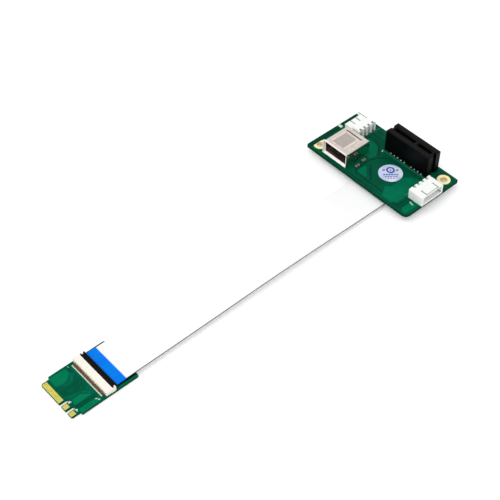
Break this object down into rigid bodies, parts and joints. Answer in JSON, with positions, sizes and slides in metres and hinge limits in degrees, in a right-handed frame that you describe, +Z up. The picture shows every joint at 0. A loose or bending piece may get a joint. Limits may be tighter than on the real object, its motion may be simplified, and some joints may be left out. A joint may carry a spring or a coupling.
{
  "type": "pcie riser card",
  "caption": "Riser card: a small keyed edge card joined by a wide flat cable to a drilled board with an expansion slot, a plug receptacle and white pin headers.",
  "frame": {"origin": "on the table, under the middle of the whole object", "axes": "+X from the small card to the riser board along the flat cable, +Y across the cable, +Z up from the table"},
  "size_m": [0.1962, 0.061, 0.0153],
  "materials": {
    "pcb": "green solder mask",
    "gold": "gold plate",
    "contact_metal": "plated spring metal",
    "solder": "bright tin",
    "nickel": "nickel plate",
    "cream_plastic": "moulded",
    "black_plastic": "moulded",
    "white_plastic": "moulded",
    "cable_white": "insulating film",
    "blue_film": "stiff film",
    "label_paper": "printed paper",
    "ceramic": "fired"
  },
  "bodies": {
    "riser": {"card_board": "pcb", "card_fingers_top": "gold", "card_fingers_bottom": "gold", "card_notch_pads": "gold", "card_zif_housing": "cream_plastic", "card_zif_contacts": "contact_metal", "card_zif_solder": "solder", "card_zif_anchors": "solder", "riser_board": "pcb", "riser_hole_pads": "gold", "riser_zif_housing": "cream_plastic", "riser_zif_contacts": "contact_metal", "riser_zif_solder": "solder", "riser_zif_anchors": "solder", "slot_housing": "black_plastic", "slot_contacts": "contact_metal", "slot_solder": "solder", "usb_shell": "nickel", "usb_insulator": "black_plastic", "usb_contacts": "contact_metal", "usb_solder": "solder", "power_housing": "white_plastic", "power_pins": "contact_metal", "aux_housing": "white_plastic", "aux_pins": "contact_metal", "header_solder": "solder", "round_label": "label_paper", "capacitor_bodies": "ceramic", "capacitor_ends": "solder", "cable_ribbon": "cable_white", "card_stiffener": "blue_film", "riser_stiffener": "blue_film"},
    "card_latch": {"card_zif_latch": "black_plastic"},
    "riser_latch": {"riser_zif_latch": "black_plastic"}
  },
  "joints": [
    {"name": "card_latch_hinge", "type": "hinge", "parent": "riser", "child": "card_latch", "pos_m": [-0.07945, -0.0076, 0.00255], "axis": [0, -1, 0], "range_deg": [0, 90]},
    {"name": "riser_latch_hinge", "type": "hinge", "parent": "riser", "child": "riser_latch", "pos_m": [0.07155, -0.0076, 0.00065], "axis": [0, -1, 0], "range_deg": [0, 90]}
  ]
}
